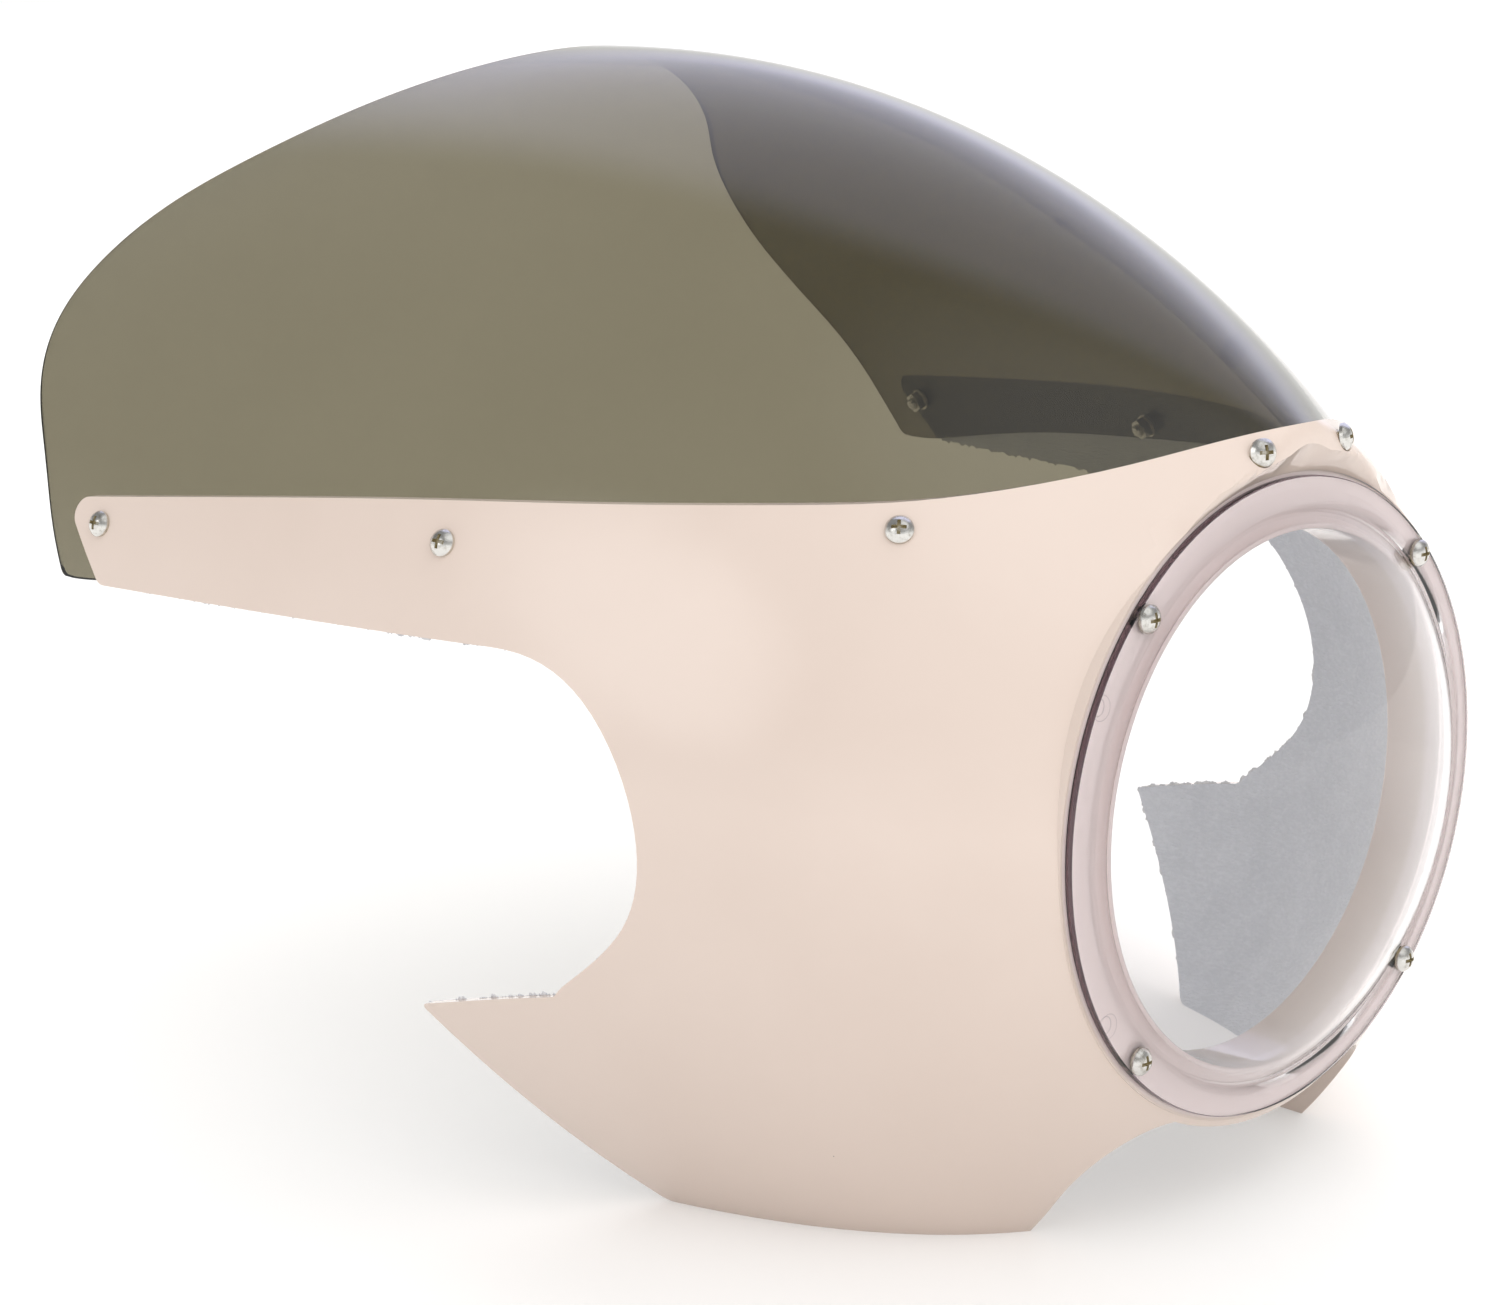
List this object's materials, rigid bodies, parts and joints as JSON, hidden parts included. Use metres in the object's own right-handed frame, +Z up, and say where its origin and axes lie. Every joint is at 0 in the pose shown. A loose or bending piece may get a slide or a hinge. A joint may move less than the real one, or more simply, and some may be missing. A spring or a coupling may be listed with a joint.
{
  "type": "headlight cowl",
  "caption": "Half cowl for a round motorcycle headlight: moulded shell with side wings and cut-outs, smoked bubble screen, domed clear lamp cover.",
  "frame": {"origin": "centre of the lamp opening, in the plane that the clear cover is seated on", "axes": "+Y to the rear along the lamp axis, +X across, +Z up; the cowl is the same on both sides of X = 0"},
  "size_m": [0.458, 0.478, 0.3891],
  "materials": {
    "gelcoat": "gloss gelcoat, warm off-white",
    "smoked_acrylic": "smoked, transparent, gloss",
    "clear_acrylic": "clear, gloss",
    "plated_steel": "bright zinc plate"
  },
  "bodies": {
    "root": {"fairing_shell": "gelcoat", "windscreen": "smoked_acrylic", "headlight_cover": "clear_acrylic", "screen_screws": "plated_steel", "screen_washers": "plated_steel", "screen_nuts": "plated_steel", "cover_screws": "plated_steel", "cover_washers": "plated_steel", "cover_nuts": "plated_steel"}
  },
  "joints": []
}
